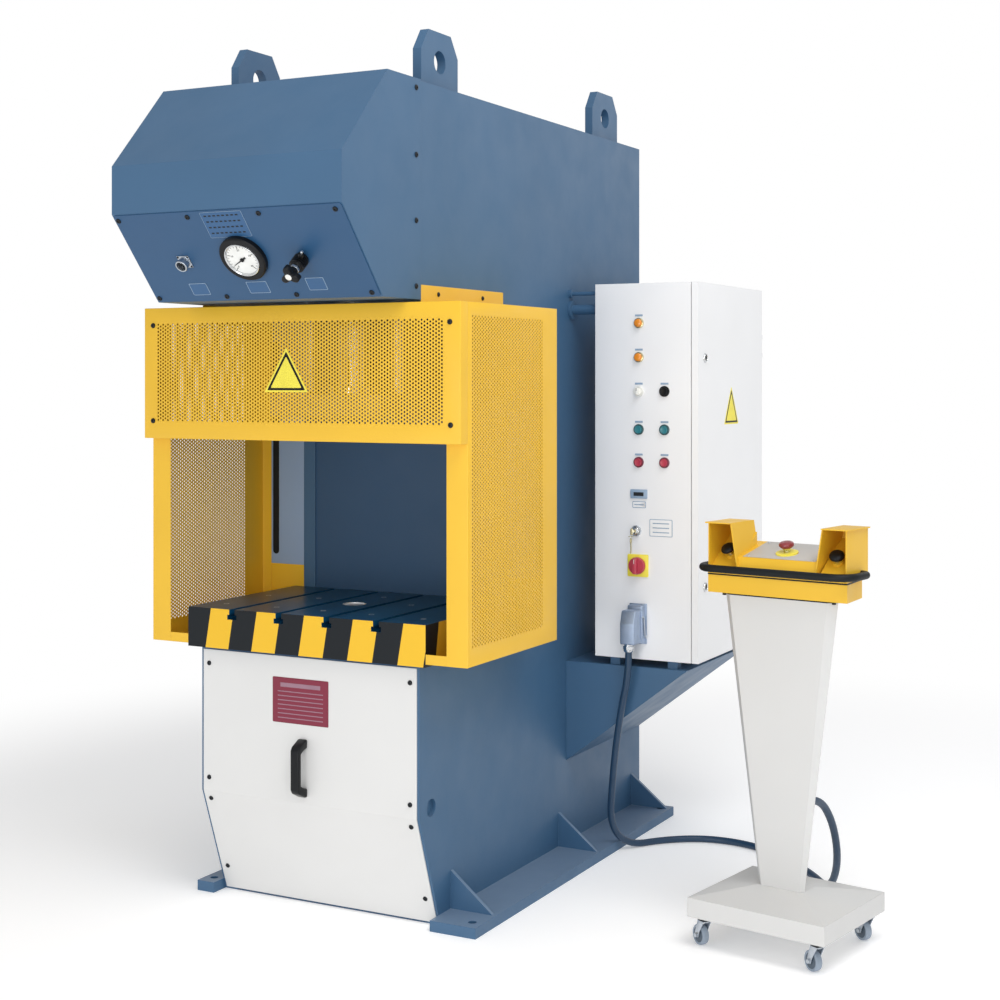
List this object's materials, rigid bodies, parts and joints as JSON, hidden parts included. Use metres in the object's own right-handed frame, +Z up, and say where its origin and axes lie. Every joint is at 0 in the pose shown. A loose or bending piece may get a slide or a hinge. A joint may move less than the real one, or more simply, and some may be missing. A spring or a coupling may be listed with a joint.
{
  "type": "hydraulic press",
  "caption": "C-frame hydraulic press with guarded die space, switch cabinet with hinged door, and a two-hand control pedestal on casters joined by a cable.",
  "frame": {"origin": "on the floor, on the machine's centre plane, midway along the frame's base", "axes": "+X is the operator's right, +Y runs from the operator to the back, +Z is up"},
  "size_m": [1.8755, 1.7988, 2.305],
  "materials": {
    "frame_enamel": "satin hammered enamel",
    "panel_enamel": "satin",
    "guard_enamel": "satin",
    "table_steel": "blackened, satin",
    "grey_enamel": "fine texture",
    "cover_enamel": "satin",
    "pale_blue_enamel": "satin",
    "ground_steel": "ground",
    "hard_chrome": "hard chromed",
    "black_plastic": "moulded",
    "black_steel": "satin",
    "red_plastic": "moulded",
    "green_plastic": "moulded",
    "white_plastic": "moulded",
    "amber_lens": "moulded",
    "zinc_plate": "zinc plated",
    "die_cast_grey": "die cast, painted",
    "cable_jacket": "ribbed sheath",
    "wheel_rubber": "grey rubber"
  },
  "bodies": {
    "root": {"side_plate_left": "frame_enamel", "side_plate_right": "frame_enamel", "frame_plates": "frame_enamel", "lifting_lugs": "frame_enamel", "work_table": "table_steel", "cylinder": "black_steel", "hydraulic_unit": "black_steel", "head_cover": "frame_enamel", "control_panel": "panel_enamel", "pressure_gauge": "black_plastic", "panel_socket": "zinc_plate", "regulator_valve": "black_steel", "guard_side_left": "guard_enamel", "guard_side_right": "guard_enamel", "guard_front_panel": "guard_enamel", "guard_rear_plates": "pale_blue_enamel", "cover_screws": "black_steel", "lower_front_cover": "cover_enamel", "cover_handle": "black_plastic", "cabinet_body": "grey_enamel", "cabinet_bracket": "frame_enamel", "cabinet_stays": "frame_enamel", "pilot_lights": "amber_lens", "device_bezels": "zinc_plate", "device_plates": "guard_enamel", "connector_base": "die_cast_grey", "connector_hood": "die_cast_grey", "control_cable": "cable_jacket", "pedestal_column": "grey_enamel", "pedestal_tray": "grey_enamel", "console_body": "guard_enamel", "console_cover": "guard_enamel", "push_rail": "black_plastic"},
    "ram": {"ram_rod": "hard_chrome", "platen": "ground_steel"},
    "gauge_pointer": {"gauge_pointer": "black_steel"},
    "regulator_knob": {"regulator_knob": "black_plastic"},
    "cabinet_door": {"cabinet_door": "grey_enamel"},
    "door_lock_upper": {"door_lock_upper": "zinc_plate"},
    "door_lock_lower": {"door_lock_lower": "zinc_plate"},
    "mode_selector": {"mode_selector": "white_plastic"},
    "key_switch": {"key_switch": "zinc_plate"},
    "isolator_knob": {"isolator_knob": "red_plastic"},
    "connector_lever": {"connector_lever": "zinc_plate"},
    "palm_button_left": {"palm_button_left": "black_plastic"},
    "palm_button_right": {"palm_button_right": "black_plastic"},
    "stop_button": {"stop_button": "red_plastic"},
    "black_button": {"black_button": "black_plastic"},
    "green_button_left": {"green_button_left": "green_plastic"},
    "green_button_right": {"green_button_right": "green_plastic"},
    "red_button_left": {"red_button_left": "red_plastic"},
    "red_button_right": {"red_button_right": "red_plastic"},
    "caster_fork_front_left": {"caster_fork_front_left": "zinc_plate"},
    "caster_wheel_front_left": {"caster_wheel_front_left": "wheel_rubber"},
    "caster_fork_front_right": {"caster_fork_front_right": "zinc_plate"},
    "caster_wheel_front_right": {"caster_wheel_front_right": "wheel_rubber"},
    "caster_fork_rear_left": {"caster_fork_rear_left": "zinc_plate"},
    "caster_wheel_rear_left": {"caster_wheel_rear_left": "wheel_rubber"},
    "caster_fork_rear_right": {"caster_fork_rear_right": "zinc_plate"},
    "caster_wheel_rear_right": {"caster_wheel_rear_right": "wheel_rubber"}
  },
  "joints": [
    {"name": "ram_slide", "type": "slide", "parent": "root", "child": "ram", "axis": [0, 0, -1], "range_m": [0, 0.35]},
    {"name": "pointer_turn", "type": "hinge", "parent": "root", "child": "gauge_pointer", "pos_m": [0, -0.98128, 1.70221], "axis": [0, -0.7603, -0.6496], "range_deg": [-270, 0]},
    {"name": "regulator_turn", "type": "hinge", "parent": "root", "child": "regulator_knob", "pos_m": [0.165, -0.97348, 1.69308], "axis": [0, -0.7603, -0.6496], "range_deg": [-90, 90]},
    {"name": "door_hinge", "type": "hinge", "parent": "root", "child": "cabinet_door", "pos_m": [0.744, 0.72, 1.133], "axis": [0, 0, 1], "range_deg": [0, 120]},
    {"name": "lock_upper_turn", "type": "hinge", "parent": "cabinet_door", "child": "door_lock_upper", "pos_m": [0.744, 0.204, 1.46169], "axis": [1, 0, 0], "range_deg": [0, 90]},
    {"name": "lock_lower_turn", "type": "hinge", "parent": "cabinet_door", "child": "door_lock_lower", "pos_m": [0.744, 0.204, 0.80103], "axis": [1, 0, 0], "range_deg": [0, 90]},
    {"name": "black_button_press", "type": "slide", "parent": "root", "child": "black_button", "axis": [0, 1, 0], "range_m": [0, 0.004], "stiffness_N_per_m": 600, "springref_m": -0.002},
    {"name": "green_button_left_press", "type": "slide", "parent": "root", "child": "green_button_left", "axis": [0, 1, 0], "range_m": [0, 0.004], "stiffness_N_per_m": 600, "springref_m": -0.002},
    {"name": "green_button_right_press", "type": "slide", "parent": "root", "child": "green_button_right", "axis": [0, 1, 0], "range_m": [0, 0.004], "stiffness_N_per_m": 600, "springref_m": -0.002},
    {"name": "red_button_left_press", "type": "slide", "parent": "root", "child": "red_button_left", "axis": [0, 1, 0], "range_m": [0, 0.004], "stiffness_N_per_m": 600, "springref_m": -0.002},
    {"name": "red_button_right_press", "type": "slide", "parent": "root", "child": "red_button_right", "axis": [0, 1, 0], "range_m": [0, 0.004], "stiffness_N_per_m": 600, "springref_m": -0.002},
    {"name": "selector_turn", "type": "hinge", "parent": "root", "child": "mode_selector", "pos_m": [0.571, 0.14, 1.36505], "axis": [0, -1, 0], "range_deg": [-45, 45]},
    {"name": "key_turn", "type": "hinge", "parent": "root", "child": "key_switch", "pos_m": [0.563, 0.14, 0.95937], "axis": [0, -1, 0], "range_deg": [0, 60]},
    {"name": "isolator_turn", "type": "hinge", "parent": "root", "child": "isolator_knob", "pos_m": [0.569, 0.14, 0.85891], "axis": [0, -1, 0], "range_deg": [0, 90]},
    {"name": "lever_turn", "type": "hinge", "parent": "root", "child": "connector_lever", "pos_m": [0.596, 0.136, 0.655], "axis": [1, 0, 0], "range_deg": [0, 80]},
    {"name": "palm_left_press", "type": "slide", "parent": "root", "child": "palm_button_left", "axis": [0.2188, 0.569, -0.7927], "range_m": [0, 0.005], "stiffness_N_per_m": 900, "springref_m": -0.002},
    {"name": "palm_right_press", "type": "slide", "parent": "root", "child": "palm_button_right", "axis": [-0.0216, 0.6093, -0.7927], "range_m": [0, 0.005], "stiffness_N_per_m": 900, "springref_m": -0.002},
    {"name": "stop_press", "type": "slide", "parent": "root", "child": "stop_button", "axis": [0.033, 0.1975, -0.9797], "range_m": [0, 0.006]},
    {"name": "swivel_front_left", "type": "hinge", "parent": "root", "child": "caster_fork_front_left", "pos_m": [0.99599, -0.43987, 0.07], "axis": [0, 0, 1], "continuous": true},
    {"name": "roll_front_left", "type": "hinge", "parent": "caster_fork_front_left", "child": "caster_wheel_front_left", "pos_m": [0.98215, -0.43, 0.025], "axis": [-0.5807, -0.8141, 0], "continuous": true},
    {"name": "swivel_front_right", "type": "hinge", "parent": "root", "child": "caster_fork_front_right", "pos_m": [1.29779, -0.49037, 0.07], "axis": [0, 0, 1], "continuous": true},
    {"name": "roll_front_right", "type": "hinge", "parent": "caster_fork_front_right", "child": "caster_wheel_front_right", "pos_m": [1.28395, -0.4805, 0.025], "axis": [-0.5807, -0.8141, 0], "continuous": true},
    {"name": "swivel_rear_left", "type": "hinge", "parent": "root", "child": "caster_fork_rear_left", "pos_m": [1.04121, -0.16963, 0.07], "axis": [0, 0, 1], "continuous": true},
    {"name": "roll_rear_left", "type": "hinge", "parent": "caster_fork_rear_left", "child": "caster_wheel_rear_left", "pos_m": [1.02737, -0.15976, 0.025], "axis": [-0.5807, -0.8141, 0], "continuous": true},
    {"name": "swivel_rear_right", "type": "hinge", "parent": "root", "child": "caster_fork_rear_right", "pos_m": [1.34301, -0.22013, 0.07], "axis": [0, 0, 1], "continuous": true},
    {"name": "roll_rear_right", "type": "hinge", "parent": "caster_fork_rear_right", "child": "caster_wheel_rear_right", "pos_m": [1.32917, -0.21026, 0.025], "axis": [-0.5807, -0.8141, 0], "continuous": true}
  ]
}
